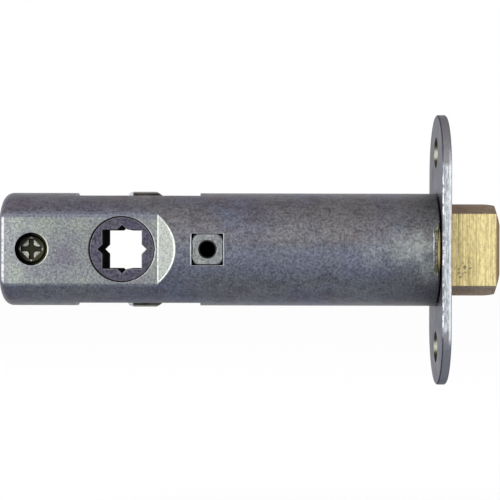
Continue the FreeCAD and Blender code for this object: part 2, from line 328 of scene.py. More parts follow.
zinc = {
    "blue": rgb(0.172, 0.192, 0.254),
    "purple": rgb(0.156, 0.141, 0.169),
    "olive": rgb(0.204, 0.203, 0.199),
    "stain": rgb(0.108, 0.098, 0.116),
    "steely": rgb(0.155, 0.176, 0.245),
    "front": rgb(0.150, 0.153, 0.142),
    "shoulder": rgb(0.215, 0.232, 0.285),
    "rubbed": rgb(0.40, 0.43, 0.415),
    "flat": rgb(0.260, 0.274, 0.286),
    "flatPale": rgb(0.310, 0.338, 0.306),
    "flatStain": rgb(0.196, 0.186, 0.232),
    "facet": rgb(0.300, 0.316, 0.290),
    "fleck": rgb(0.62, 0.66, 0.60),
    "pit": rgb(0.045, 0.043, 0.050),
    "edge": rgb(0.78, 0.80, 0.78),
    "ridge": rgb(0.78, 0.83, 0.75),
    "rearHighlight": rgb(0.90, 0.92, 0.96),
    "rim": rgb(0.20, 0.20, 0.225),
    "grimeAndShade": rgb(0.030, 0.028, 0.026),
    "black": rgb(0.003, 0.003, 0.003),
    "litOlive": rgb(0.20, 0.19, 0.10),
    "clouds": (6, 0.3), "skin": (4, 0.26), "wear": (0.34, 0.6), "dirtAndShade": (1.0, 0.9),
    "cloudStretch": (0.8, 1.0, 1.0),
    "rough": (0.40, 0.56), "linishedRough": -0.05, "bump": (0.3, 0.03 * mm),
    "radius": 12.3 * mm,
    "rearEnd": -96.4 * mm,
    "flatStart": -62.35 * mm,              # where the flat ends and the facet begins
    "flatHalf": 9.9 * mm,                  # from the middle plane to a flat
    "flatTop": 6.78 * mm,                  # the linishing stops short of the flat's upper edge
    "facetSlope": 0.64,                    # rise of the facet per length
    "facetEnd": -58.5 * mm,
    "postX": -51.7 * mm,
    "postSide": 3.4 * mm,
    "postTop": -12.1 * mm,
    "postFace": (-11.5 * mm, -12.0 * mm),
    "bore": 2.08 * mm,
    "boreEnd": 8.0 * mm,                   # y of the blind bore's end
    "hubX": -70.0 * mm,
    "hubHole": 7.02 * mm,
    "screwX": -89.35 * mm,
    "screwHole": 3.5 * mm,
    "screwSide": (-5.0 * mm, -6.0 * mm),   # only the near half is counterbored
    "lip": -3.9 * mm,                      # the torn front lip, which has no worn edges
    "nearSkin": (-9.0 * mm, -9.8 * mm),    # y of what faces the near side
    "steelyZ": -2.4 * mm,                  # height of a bluer band
    "flank": (4.0 * mm, 9.0 * mm),         # heights over which grain weakens and shade at the plate grows
    "frontFade": (-18.0 * mm, -4.0 * mm),
    "plateShade": (-11.0 * mm, -3.5 * mm),
    "rearFade": (-85.0 * mm, -95.0 * mm),
    "lineFade": (-90.0 * mm, -94.0 * mm),
    # places as x, z, outer and inner reach in mm, and strength
    "rubbedPlaces": ((-7.4, 0.5, 4.4, 0.0, 0.95), (-11.0, 0.4, 5.5, 0.5, 0.5), (-17.0, -0.4, 5.0, 0.5, 0.28),
                     (-5.2, -4.8, 3.6, 0.3, 0.42)),
    "purplePlaces": ((-81.9, -1.5, 4.6, 0.5, 0.85), (-80.5, 2.6, 2.6, 0.3, 0.5)),
    "greenPlaces": ((-86.5, 5.2, 4.0, 0.5, 0.8), (-79.5, 4.9, 3.4, 0.3, 0.6), (-92.5, -5.0, 3.6, 0.5, 0.7)),
}


# Where the casting was linished: masks for its flats, its two facets and the post's face, and the flats' borders
def linishedMasks(place):
    x, y, z = split(place)
    out = absolute(y)
    start, half, top = zinc["flatStart"], zinc["flatHalf"], zinc["flatTop"]
    rear = step(x, start + 0.2 * mm, start - 0.1 * mm)
    onFlat = times(step(out, half - 0.55 * mm, half - 0.05 * mm), rear,
                   step(z, top + 0.15 * mm, top - 0.15 * mm))
    rise = times(minus(x, start), zinc["facetSlope"])
    offFacet = absolute(minus(out, plus(rise, half)))
    onFacet = times(step(offFacet, 0.12 * mm, 0.05 * mm), step(x, start, start + 0.1 * mm),
                    step(x, zinc["facetEnd"] + 0.4 * mm, zinc["facetEnd"]))
    fromPost = largest(absolute(minus(x, zinc["postX"])), absolute(z))
    onPost = times(step(fromPost, zinc["postSide"], zinc["postSide"] - 0.1 * mm), step(y, *zinc["postFace"]))
    shoulder = times(step(out, half - 0.8 * mm, half - 0.25 * mm), rear)
    return onFlat, onFacet, onPost, shoulder


# Painted highlights on polished edges, as bright lines where the linished faces end: the facet's foot and arc, the
# flat's rear edge and two hole rims, whose highlight is painted only towards their right
def edgeHighlights(place, onFlat, onFacet):
    x, y, z = split(place)
    half, radius, screwX, hubX = zinc["flatHalf"], zinc["radius"], zinc["screwX"], zinc["hubX"]
    foot = times(lineAt(x, zinc["flatStart"], 0.14 * mm),
                 step(absolute(y), half - 0.1 * mm, half - 0.02 * mm))
    arc = times(onFacet, step(span(0.0, y, z), radius - 0.22 * mm, radius - 0.08 * mm),
                step(z, 6.5 * mm, 1.5 * mm, 0.35, 1.0))
    rear = times(lineAt(x, zinc["rearEnd"] + 1.02 * mm, 0.26 * mm), onFlat)
    rightOfScrew = step(minus(x, screwX), 0.2 * mm, 3.2 * mm, 0.0, 0.85)
    screwRim = lineAt(fromAxis(place, screwX), zinc["screwHole"] + 0.12 * mm, 0.13 * mm)
    screwRim = times(screwRim, rightOfScrew, step(y, 0.0, -1.0 * mm), onFlat)
    rightOfHub = step(minus(x, hubX), 1.0 * mm, 6.8 * mm, 0.0, 0.4)
    hubRim = lineAt(fromAxis(place, hubX), zinc["hubHole"] + 0.14 * mm, 0.12 * mm)
    hubRim = times(hubRim, rightOfHub, onFlat)
    broken = step(noise(place, 1500.0, 3.0, 0.7), 0.38, 0.52, 0.45, 1.0)
    return times(largest(foot, arc, rear, screwRim, hubRim), broken)


# Soft patches with uneven borders round the given places of the near side
def patches(place, places):
    uneven = times(minus(noise(place, 420.0, 4.0, 0.6), 0.5), 6.0 * mm)
    spots = [step(plus(fromAxis(place, x * mm, z * mm), uneven), outer * mm, inner * mm, 0.0, strength)
             for x, z, outer, inner, strength in places]
    return times(largest(*spots), step(split(place)[1], *zinc["nearSkin"]))


# The linished faces: grey with pale and purple patches and bright flecks, lighter towards the rear
def linishedColor(place, skin):
    flecks = step(noise(place, 1300.0, 2.0, 0.6), 0.67, 0.75, 0.0, 0.6)
    color = layered(zinc["flat"],
                    (step(skin["Blotch"], 0.35, 0.9, 0.0, 0.7), zinc["flatPale"]),
                    (step(skin["Tint"], 0.4, 1.0, 0.0, 0.3), zinc["flatStain"]),
                    (patches(place, zinc["purplePlaces"]), zinc["flatStain"]),
                    (patches(place, zinc["greenPlaces"]), zinc["flatPale"]),
                    (flecks, zinc["fleck"]))
    return scaled(color, step(split(place)[0], *zinc["rearFade"], 1.0, 1.3))


# Grain that weakens up and down the barrel and where it is rubbed, and shade close to the plate
def grainShade(place, grain, rubbed):
    x, y, z = split(place)
    height = absolute(z)
    swing = times(step(height, *zinc["flank"], 0.98, 0.78), step(rubbed, 0.2, 0.9, 1.0, 0.6))
    speckle = plus(1.0, times(minus(grain, 0.5), swing))
    nearPlate = times(step(x, *zinc["plateShade"]), inverse(rubbed), step(height, *zinc["flank"], 0.02, 0.2))
    return times(speckle, inverse(nearPlate))


# Painted shade and light in the holes: black in the post's bore, and in the screw's counterbore black at the left
# that runs to a lit olive at the right
def holeLayers(place):
    x, y, z = split(place)
    bore, top, end = zinc["bore"], zinc["postTop"], zinc["boreEnd"]
    inBore = times(step(fromAxis(place, zinc["postX"]), bore, bore - 0.06 * mm),
                   step(y, top, top + 0.2 * mm), step(y, end + 0.6 * mm, end + 0.3 * mm))
    hole, half = zinc["screwHole"], zinc["flatHalf"]
    inHole = times(step(fromAxis(place, zinc["screwX"]), hole + 0.03 * mm, hole - 0.02 * mm),
                   step(y, 0.06 * mm - half, 0.14 * mm - half), step(y, *zinc["screwSide"]))
    toRight = step(minus(x, zinc["screwX"]), -0.5 * mm, 3.4 * mm)
    return (inBore, zinc["black"]), (inHole, blend(toRight, zinc["black"], zinc["litOlive"]))


# Cast zinc: a mottled grey skin, paler where the flats were linished, with worn edges, dirt with painted shade in
# the corners, and painted highlights and shade at edges and holes
def makeZinc():
    material, shader, place = newMaterial("castZinc", Metallic=0.92, IOR=1.5)
    clouds = skinOn(stretch(place, zinc["cloudStretch"]), *zinc["clouds"])
    skin = skinOn(place, *zinc["skin"])
    wear = wearOn(place, *zinc["wear"])
    x, y, z = split(place)
    onFlat, onFacet, onPost, shoulder = linishedMasks(place)
    linished = largest(onFlat, onFacet, onPost)
    rubbed = patches(place, zinc["rubbedPlaces"])
    band = step(absolute(minus(z, zinc["steelyZ"])), 5.0 * mm, 1.5 * mm, 0.0, 0.55)
    color = layered(blend(clouds["Blotch"], zinc["purple"], zinc["blue"]),
                    (times(clouds["Tint"], 0.75), zinc["olive"]),
                    (ranged(clouds["Mottle"], 0.0, 0.6), zinc["stain"]),
                    (times(shoulder, 0.75), zinc["shoulder"]),
                    (times(band, step(y, *zinc["nearSkin"])), zinc["steely"]),
                    (step(x, *zinc["frontFade"], 0.0, 0.6), zinc["front"]),
                    (times(rubbed, step(skin["Mottle"], 0.2, 0.8, 0.95, 0.6)), zinc["rubbed"]),
                    (linished, linishedColor(place, skin)),
                    (times(onFacet, 0.85), zinc["facet"]))
    color = scaled(color, grainShade(place, skin["Grain"], rubbed))
    lip, half, hole, rearEnd = zinc["lip"], zinc["flatHalf"], zinc["hubHole"], zinc["rearEnd"]
    worn = times(wear["Mask"], step(x, lip, lip - 0.4 * mm, 0.0, 0.7))
    # Painted shade: grey on the rear end's chamfer, behind its painted highlight
    rim = times(step(x, rearEnd + 0.8 * mm, rearEnd + 0.65 * mm),
                step(absolute(y), half - 1.0 * mm, half - 0.5 * mm))
    # Painted highlight colours: pale green on the facet's lines, white on the rear edge
    highlightColor = blend(step(x, *zinc["lineFade"]), zinc["ridge"], zinc["rearHighlight"])
    # Painted shadow: a black ring round the hub's hole, wider to the left
    leftward = times(minus(x, zinc["hubX"]), -0.02)
    hubRingShade = step(minus(fromAxis(place, zinc["hubX"]), leftward), hole + 0.10 * mm, hole + 0.01 * mm, 0.0, 0.92)
    color = layered(color,
                    (times(skin["Pit"], 0.6), zinc["pit"]),
                    (worn, zinc["edge"]),
                    (rim, zinc["rim"]),
                    (edgeHighlights(place, onFlat, onFacet), highlightColor),
                    (largest(dirtAndShadeOn(place, *zinc["dirtAndShade"]), hubRingShade), zinc["grimeAndShade"]),
                    *holeLayers(place))
    rough = plus(ranged(skin["Grain"], *zinc["rough"]), times(linished, zinc["linishedRough"]))
    surface(shader, zinc, color, rough, minus(times(skin["Grain"], 0.5), skin["Pit"]), wear["Normal"])
    return material


hubLook = {
    "face": rgb(0.100, 0.096, 0.140),
    "warm": rgb(0.128, 0.118, 0.134),
    "dull": rgb(0.066, 0.062, 0.080),
    "edge": rgb(0.55, 0.53, 0.58),
    "grimeAndShade": rgb(0.02, 0.018, 0.016),
    "skin": (3, 0.25), "wear": (0.4, 0.45), "dirtAndShade": (0.8, 0.85),
    "rough": (0.42, 0.55), "bump": (0.25, 0.02 * mm),
    "faceHalf": 9.85 * mm,
    "marks": ((-71.06, -5.68), (-69.16, -5.3)),   # x and z in mm of two dull marks low on the face
    "markReach": (0.55 * mm, 0.1 * mm),
}


# Sintered hub: even purple grey with fine grain, light rims at the star, and dirt with painted shade round the
# journals.
# Inside, the star's walls get painted shade: black, and reflecting nothing.
def makeHubMetal():
    material, shader, place = newMaterial("hubMetal", Specular_IOR_Level=0.0)
    skin = skinOn(place, *hubLook["skin"])
    wear = wearOn(place, *hubLook["wear"])
    faceHalf = hubLook["faceHalf"]
    color = layered(hubLook["face"],
                    (times(skin["Blotch"], 0.6), hubLook["warm"]),
                    (step(skin["Mottle"], 0.3, 1.0, 0.0, 0.6), hubLook["dull"]))
    color = scaled(color, ranged(skin["Grain"], 0.55, 1.45))
    # Painted shade on the star's inner walls
    inside = step(absolute(split(place)[1]), faceHalf - 0.12 * mm, faceHalf - 0.5 * mm)
    marks = [step(fromPoint(place, (x * mm, -faceHalf, z * mm)), *hubLook["markReach"])
             for x, z in hubLook["marks"]]
    color = layered(color,
                    (times(wear["Mask"], 0.8), hubLook["edge"]),
                    (times(inside, 0.96), hubLook["grimeAndShade"]),
                    (times(largest(*marks), step(skin["Mottle"], 0.1, 0.6, 0.9, 0.3)), hubLook["grimeAndShade"]),
                    (dirtAndShadeOn(place, *hubLook["dirtAndShade"]), hubLook["grimeAndShade"]))
    feed(shader.inputs["Metallic"], times(inverse(inside), 0.95))
    rough = ranged(skin["Grain"], *hubLook["rough"])
    surface(shader, hubLook, color, rough, skin["Grain"], wear["Normal"])
    return material


plateLook = {
    "face": rgb(0.322, 0.325, 0.350),
    "stain": rgb(0.215, 0.215, 0.238),
    "end": rgb(0.275, 0.272, 0.290),
    "cutEdge": rgb(0.58, 0.62, 0.645),
    "cutDull": rgb(0.40, 0.43, 0.46),
    "bright": rgb(0.88, 0.90, 0.92),
    "blueGrey": rgb(0.20, 0.213, 0.255),
    "chip": rgb(0.64, 0.66, 0.71),
    "darkLine": rgb(0.060, 0.054, 0.082),
    "nick": rgb(0.10, 0.10, 0.11),
    "plating": rgb(0.82, 0.82, 0.68),
    "platingDull": rgb(0.115, 0.112, 0.062),
    "grimeAndShade": rgb(0.030, 0.030, 0.032),
    "glancing": rgb(0.45, 0.45, 0.48),
    "lines": (0.35, 25.0), "edgeLines": (0.3, 9.0), "skin": (5, 0.3), "wear": (0.2, 0.75), "dirtAndShade": (1.0, 0.8),
    "rough": (0.32, 0.46), "bump": (0.3, 0.03 * mm),
    "thick": 2.0 * mm,
    "halfWidth": 12.5 * mm,
    "straight": 17.0 * mm,
    "holeZ": 21.25 * mm,
    "holeSink": 4.7 * mm,
    "backStrip": (-1.56 * mm, -1.74 * mm),
    "frontStrip": (-0.72 * mm, -0.52 * mm),
    "frontLine": (-0.16 * mm, -0.08 * mm),
}


# The plate's sheared edge, from its back to its front: a chipped blue-grey strip of painted shade, a pale streaked
# middle, a white strip that runs on round the ends and a thin dark line. Past the straight sides the edge is dull.
def cutEdgeColor(place):
    x, y, z = split(place)
    straight = plateLook["straight"]
    streaks = step(linesOn(place, *plateLook["edgeLines"])["Lines"], 0.3, 1.0, 0.0, 0.8)
    chips = step(tallSpots(place, 0.5, 1500.0, 4.0, 0.75), 0.46, 0.60)
    spots = step(tallSpots(place, 0.4, 1900.0, 4.0, 0.8), 0.40, 0.60, 0.72, 1.22)
    ragged = times(minus(noise(place, 500.0, 4.0, 0.7), 0.5), 9.0 * mm)
    reach = plus(absolute(z), ragged)
    frontStrip = times(step(x, *plateLook["frontStrip"]),
                       step(reach, straight + 5.5 * mm, straight + 1.5 * mm), ranged(chips, 0.55, 1.0))
    color = scaled(blend(streaks, plateLook["cutEdge"], plateLook["cutDull"]), spots)
    # The back strip's blue-grey is painted shade
    return layered(color,
                   (step(x, *plateLook["backStrip"]), blend(chips, plateLook["blueGrey"], plateLook["chip"])),
                   (step(reach, straight + 0.6 * mm, straight + 1.9 * mm), plateLook["end"]),
                   (frontStrip, plateLook["bright"]),
                   (step(x, *plateLook["frontLine"], 0.0, 0.8), plateLook["darkLine"]))


# Faceplate steel: faint lengthways brushing on the faces, a sheared edge with chips and a painted shadow line at
# its back corner round the ends, pale plating in the holes
def makePlateSteel():
    material, shader, place = newMaterial("plateSteel", Metallic=0.95, Specular_Tint=plateLook["glancing"])
    lines = linesOn(place, *plateLook["lines"])
    skin = skinOn(place, *plateLook["skin"])
    wear = wearOn(place, *plateLook["wear"])
    x, y, z = split(place)
    up = absolute(z)
    straight, back = plateLook["straight"], -plateLook["thick"]
    half, sink = plateLook["halfWidth"], plateLook["holeSink"]
    outline = span(0.0, y, largest(minus(up, straight), 0.0))
    onEdge = step(outline, half - 0.27 * mm, half - 0.22 * mm)
    nicks = times(onEdge, step(tallSpots(place, 0.45, 1500.0, 3.0, 0.7), 0.63, 0.69))
    # Painted shadow: a dark line where the back face meets the edge round the ends
    corner = times(step(x, back + 0.32 * mm, back + 0.2 * mm), onEdge,
                   step(up, straight + 0.8 * mm, straight + 2.0 * mm))
    color = layered(plateLook["face"],
                    (skin["Blotch"], plateLook["stain"]),
                    (onEdge, cutEdgeColor(place)),
                    (times(nicks, 0.6), plateLook["nick"]),
                    (times(corner, 0.85), plateLook["darkLine"]))
    color = scaled(color, ranged(lines["Fine"], 0.84, 1.16))
    fromHoleZ = minus(up, plateLook["holeZ"])
    inHole = times(step(span(0.0, y, fromHoleZ), sink, sink - 0.2 * mm), step(x, -0.02 * mm, -0.08 * mm),
                   step(x, back + 0.02 * mm, back + 0.1 * mm))
    clear = times(step(absolute(fromHoleZ), 1.7 * mm, 0.6 * mm), ranged(skin["Mottle"], 1.0, 0.5))
    color = layered(color,
                    (inHole, blend(clear, plateLook["platingDull"], plateLook["plating"])),
                    (times(dirtAndShadeOn(place, *plateLook["dirtAndShade"]), inverse(inHole)), plateLook["grimeAndShade"]))
    rough = ranged(lines["Lines"], *plateLook["rough"])
    surface(shader, plateLook, color, rough, minus(times(lines["Lines"], 0.4), nicks), wear["Normal"])
    return material


brassLook = {
    "flat": rgb(0.82, 0.685, 0.335),
    "deep": rgb(0.44, 0.350, 0.155),
    "round": rgb(0.396, 0.314, 0.238),
    "roundDark": rgb(0.304, 0.245, 0.188),
    "fleck": rgb(0.085, 0.070, 0.045),
    "inside": rgb(0.46, 0.335, 0.145),
    "endDark": rgb(0.23, 0.155, 0.075),
    "edge": rgb(0.80, 0.70, 0.42),
    "glancing": rgb(0.42, 0.40, 0.38),
    "lines": (0.2, 110.0), "wear": (0.25, 0.5),
    "rough": (0.38, 0.28), "bump": (0.25, 0.02 * mm),
    "flatHalf": 6.35 * mm,
    "end": 11.1 * mm,
    "fade": (0.5 * mm, 9.5 * mm),                   # lighter from the plate to the end
    "behindPlate": (-1.0 * mm, -2.2 * mm),
    "flecked": (3.3 * mm, -6.35 * mm, -4.2 * mm),   # where dark flecks gather
    "fleckReach": (3.2 * mm, 1.0 * mm),
}


# Brass bolt: the flats are freshly brushed up and down, the round sides and the end are dull and brown, and
# painted shade darkens the brass behind the plate
def makeBrass():
    material, shader, place = newMaterial("boltBrass", Metallic=1.0, Specular_Tint=brassLook["glancing"])
    lines = linesOn(place, *brassLook["lines"])
    wear = wearOn(place, *brassLook["wear"])
    x, y, z = split(place)
    half, end = brassLook["flatHalf"], brassLook["end"]
    onFlat = times(step(absolute(y), half - 0.12 * mm, half - 0.03 * mm),
                   step(x, end - 0.78 * mm, end - 0.86 * mm))
    onEnd = step(x, end - 0.12 * mm, end - 0.04 * mm, 0.0, 0.2)
    brushed = blend(step(lines["Lines"], 0.05, 0.6, 0.3, 1.0), brassLook["deep"], brassLook["flat"])
    dull = blend(noise(place, 350.0, 4.0, 0.6), brassLook["round"], brassLook["roundDark"])
    shade = times(ranged(lines["Fine"], 0.74, 1.20),
                  step(tallSpots(place, 0.45, 1600.0, 4.0, 0.8), 0.36, 0.60, 0.78, 1.12),
                  step(x, *brassLook["fade"], 0.80, 1.12))
    color = scaled(blend(largest(onFlat, onEnd), dull, brushed), shade)
    more = step(fromPoint(place, brassLook["flecked"]), *brassLook["fleckReach"], 0.0, 0.18)
    flecks = step(plus(noise(place, 1500.0, 3.0, 0.7), more), 0.69, 0.75)
    # Painted shade: darker, oranger brass behind the plate
    color = layered(color,
                    (step(x, end - 0.84 * mm, end - 0.74 * mm, 0.0, 0.75), brassLook["endDark"]),
                    (step(x, *brassLook["behindPlate"], 0.0, 0.6), brassLook["inside"]),
                    (times(flecks, 0.75), brassLook["fleck"]),
                    (times(wear["Mask"], 0.5), brassLook["edge"]))
    rough = ranged(lines["Lines"], *brassLook["rough"])
    surface(shader, brassLook, color, rough, minus(lines["Lines"], flecks), wear["Normal"])
    return material


strapLook = {
    "steel": rgb(0.075, 0.066, 0.055),
    "dark": rgb(0.030, 0.026, 0.020),
    "polishedBendHighlight": rgb(0.78, 0.81, 0.88),
    "edge": rgb(0.4, 0.4, 0.42),
    "grimeAndShade": rgb(0.020, 0.017, 0.012),
    "skin": (2.2, 0.22), "wear": (0.3, 0.4), "dirtAndShade": (0.9, 0.7),
    "rough": (0.28, 0.42), "bump": (0.2, 0.015 * mm),
    "bendX": -68.1 * mm,     # the polished bend is behind this
    "bendHeight": 11.3 * mm,
}


# Retractor strip: dark and oily, with a polished outer bend at the rear of each hook, painted near-white as a
# highlight
def makeStrapSteel():
    material, shader, place = newMaterial("strapSteel", Metallic=0.95)
    skin = skinOn(place, *strapLook["skin"])
    wear = wearOn(place, *strapLook["wear"])
    x, y, z = split(place)
    bendX, bendHeight = strapLook["bendX"], strapLook["bendHeight"]
    # Painted highlight on the polished outer bend
    polishedBendHighlight = times(step(x, bendX + 0.15 * mm, bendX - 0.15 * mm),
                 step(absolute(z), bendHeight, bendHeight + 0.4 * mm))
    color = layered(strapLook["steel"],
                    (skin["Blotch"], strapLook["dark"]),
                    (times(polishedBendHighlight, ranged(skin["Mottle"], 1.0, 0.4)), strapLook["polishedBendHighlight"]),
                    (times(wear["Mask"], 0.35), strapLook["edge"]),
                    (times(dirtAndShadeOn(place, *strapLook["dirtAndShade"]), inverse(polishedBendHighlight)), strapLook["grimeAndShade"]))
    rough = ranged(skin["Grain"], *strapLook["rough"])
    surface(shader, strapLook, color, rough, skin["Grain"], wear["Normal"])
    return material


plainMetal = {"grimeAndShade": rgb(0.025, 0.023, 0.018), "skin": (2.2, 0.22), "breakUp": 0.4, "reach": 0.9,
              "bump": (0.2, 0.015 * mm)}
turnedLook = {"color": rgb(0.45, 0.45, 0.46), "dark": rgb(0.34, 0.34, 0.35), "edge": rgb(0.7, 0.7, 0.7),
              "rough": (0.24, 0.38), "dirtAndShade": 0.6, "rounding": 0.15}
wireLook = {"color": rgb(0.50, 0.50, 0.52), "dark": rgb(0.38, 0.38, 0.40), "edge": rgb(0.7, 0.7, 0.7),
            "rough": (0.20, 0.34), "dirtAndShade": 0.6, "rounding": 0.05}


# Plain metal: blotches of two shades, pale edges rounded by so many mm, and dirt with painted shade in the corners
def makePlainMetal(name, look):
    material, shader, place = newMaterial(name, Metallic=0.95)
    skin = skinOn(place, *plainMetal["skin"])
    wear = wearOn(place, look["rounding"], plainMetal["breakUp"])
    color = layered(look["color"],
                    (skin["Blotch"], look["dark"]),
                    (times(wear["Mask"], 0.7), look["edge"]),
                    (dirtAndShadeOn(place, plainMetal["reach"], look["dirtAndShade"]), plainMetal["grimeAndShade"]))
    rough = ranged(skin["Grain"], *look["rough"])
    surface(shader, plainMetal, color, rough, skin["Grain"], wear["Normal"])
    return material


dress(makeZinc(), "case_near_half", "case_far_half")
dress(makeHubMetal(), "follower_hub")
dress(makePlateSteel(), "faceplate")
dress(makeBrass(), "latch_bolt")
dress(makeStrapSteel(), "retractor")
dress(makePlainMetal("turnedSteel", turnedLook),
      "draw_rod", "spring_washer", "upper_spring_pin", "lower_spring_pin")
wireSteel = makePlainMetal("wireSteel", wireLook)
print("materials dressed")


def newPiece(name, points, faces):
    mesh = bpy.data.meshes.new(name)
    mesh.from_pydata(points, [], faces)
    mesh.update()
    piece = bpy.data.objects.new(name, mesh)
    bpy.context.scene.collection.objects.link(piece)
    return piece


def smooth(piece):
    piece.data.polygons.foreach_set("use_smooth", np.ones(len(piece.data.polygons), bool))
    return piece


# A mesh from a grid of points, rows along the first parameter, closed round the second, a cap at each end
def closedTube(name, grid):
    rows, cols = grid.shape[:2]
    index = np.arange(rows * cols).reshape(rows, cols)
    following = np.roll(index, -1, axis=1)
    quads = np.stack([index[:-1], following[:-1], following[1:], index[1:]], axis=-1).reshape(-1, 4)
    ends = np.array([grid[0].mean(axis=0), grid[-1].mean(axis=0)])
    points = np.concatenate([grid.reshape(-1, 3), ends])
    first = np.stack([following[0], index[0], np.full(cols, rows * cols)], axis=-1)
    last = np.stack([index[-1], following[-1], np.full(cols, rows * cols + 1)], axis=-1)
    return smooth(newPiece(name, points.tolist(), quads.tolist() + first.tolist() + last.tolist()))


# A mesh from a grid of points that is closed along both parameters
def closedRing(name, grid):
    rows, cols = grid.shape[:2]
    index = np.arange(rows * cols).reshape(rows, cols)
    below = np.roll(index, -1, axis=0)
    quads = np.stack([index, np.roll(index, -1, axis=1), np.roll(below, -1, axis=1), below], axis=-1)
    return smooth(newPiece(name, grid.reshape(-1, 3).tolist(), quads.reshape(-1, 4).tolist()))


# A value for each point of a closed tube's grid, and one for the middles of both caps
def mark(piece, name, values, atCaps=0.0):
    values = np.concatenate([values.ravel(), [atCaps, atCaps]])
    piece.data.attributes.new(name, "FLOAT", "POINT").data.foreach_set("value", values)


# Angles of one full turn
def fullTurn(count):
    return np.linspace(0, 2 * math.pi, count, endpoint=False)


# A value that wanders smoothly along t, from sines whose strengths and phases come from a seed
def wander(t, seed, waves, roughness=0.75):
    chance = np.random.default_rng(seed)
    total = np.zeros_like(t)
    for wave in range(1, waves + 1):
        total += chance.normal() * np.sin(2 * math.pi * (wave * t + chance.random())) * wave ** -roughness
    return total / max(np.abs(total).max(), 1e-9)


def finishPiece(piece, material, body="case"):
    piece.data.materials.append(material)
    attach(piece, body)


boltCoil = {"node": "bolt_spring", "wire": 0.9 * mm, "turns": 8, "body": "retractor",
            "joint": "bolt_push", "anchor": -22.8 * mm, "travel": 10.8 * mm}
upperCoil = {"node": "upper_return_spring", "wire": 0.6 * mm, "turns": 13, "body": "case",
             "joint": "retractor_slide", "anchor": -94.6 * mm, "travel": 10.8 * mm}
lowerCoil = dict(upperCoil, node="lower_return_spring")
winding = {"rowsPerTurn": 40, "sides": 12, "closedPitch": 0.28, "closedTurns": 0.6, "openingTurns": 0.9}


# A spring coil: a round wire along a helix about X whose pitch closes up over the last turn at each end.
# Along the wire u runs from 0 to 1 and its x is the running sum of the pitch; round the wire v turns once.
def makeCoil(coil):
    low, high = (np.array(corner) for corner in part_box(coil["node"]))
    wire = coil["wire"] / 2
    radius = (high[1] - low[1]) / 2 - wire
    axisZ = (high[2] + low[2]) / 2
    u = np.linspace(0.0, 1.0, coil["turns"] * winding["rowsPerTurn"] + 1)
    fromEnd = np.minimum(u, 1 - u) * coil["turns"]
    opened = np.clip((fromEnd - winding["closedTurns"]) / winding["openingTurns"], 0, 1)
    pitch = winding["closedPitch"] + (1 - winding["closedPitch"]) * opened ** 2
    run = np.concatenate([[0.0], np.cumsum((pitch[1:] + pitch[:-1]) / 2)])
    x = low[0] + wire + run / run[-1] * (high[0] - low[0] - 2 * wire)
    angle = 2 * math.pi * coil["turns"] * u
    outward = np.stack([np.zeros_like(u), np.cos(angle), np.sin(angle)], axis=-1)
    path = np.stack([x, np.zeros_like(u), np.full_like(u, axisZ)], axis=-1) + radius * outward
    along = np.gradient(path, axis=0)
    along /= np.linalg.norm(along, axis=1, keepdims=True)
    across = np.cross(along, outward)
    v = fullTurn(winding["sides"])[None, :, None]
    grid = path[:, None] + wire * (np.cos(v) * outward[:, None] + np.sin(v) * across[:, None])
    piece = closedTube(coil["node"] + "_coil", grid)
    finishPiece(piece, wireSteel, coil["body"])
    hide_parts(coil["node"])
    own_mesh(piece)


for coil in (boltCoil, upperCoil, lowerCoil):
    makeCoil(coil)
print("springs wound")


barrel = {"radius": 12.3 * mm, "front": -2.4 * mm}
screw = {
    "x": -89.35 * mm, "top": -9.6 * mm, "seat": -8.0 * mm, "end": 6.0 * mm,
    "head": 3.0 * mm, "shank": 1.7 * mm, "dome": 0.14 * mm, "rim": 0.36 * mm, "rimStart": 0.84,
    "arm": 0.5 * mm, "span": 2.2 * mm, "deep": 1.1 * mm, "soft": 0.12 * mm, "core": 1.55 * mm,
    "flare": 2.72 * mm, "slope": 0.3, "taper": 0.35, "lip": 0.1 * mm,
    "thread": 0.14 * mm, "pitch": 0.7 * mm, "headRows": 110, "shankRows": 300, "sides": 240,
    "steel": rgb(0.085, 0.081, 0.050),
    "dark": rgb(0.05, 0.048, 0.030),
    "recessShade": rgb(0.020, 0.020, 0.013),
    "shade": rgb(0.006, 0.006, 0.005),
    "padHighlight": rgb(0.74, 0.75, 0.70),
    "grimeAndShade": rgb(0.012, 0.011, 0.008),
    "skin": (1.6, 0.2), "dirtAndShade": (0.8, 0.9), "rough": (0.24, 0.38), "bump": (0.2, 0.015 * mm),
}


# Screw steel: oily brown, with painted shade that turns it black to the upper left where the counterbore shuts it
# in and darkens the cross, and painted highlights on the marked pads
def makeScrewSteel():
    material, shader, place = newMaterial("screwSteel", Metallic=0.95)
    skin = skinOn(place, *screw["skin"])
    padHighlight = attribute(shader, "padHighlight")
    x, y, z = split(place)
    leftOf = plus(times(minus(x, screw["x"]), -0.8), times(z, 0.5))
    shaded = times(step(fromAxis(place, screw["x"]), 0.8 * mm, 2.5 * mm),
                   step(leftOf, -2.2 * mm, 1.2 * mm, 0.12, 0.97))
    color = layered(screw["steel"],
                    (skin["Blotch"], screw["dark"]),
                    (times(attribute(shader, "recessShade"), 0.75), screw["recessShade"]),
                    (shaded, screw["shade"]),
                    (times(padHighlight, step(skin["Mottle"], 0.0, 0.7, 1.0, 0.35)), screw["padHighlight"]),
                    (times(dirtAndShadeOn(place, *screw["dirtAndShade"]), inverse(padHighlight)), screw["grimeAndShade"]))
    surface(shader, screw, color, ranged(skin["Grain"], *screw["rough"]), skin["Grain"])
    return material


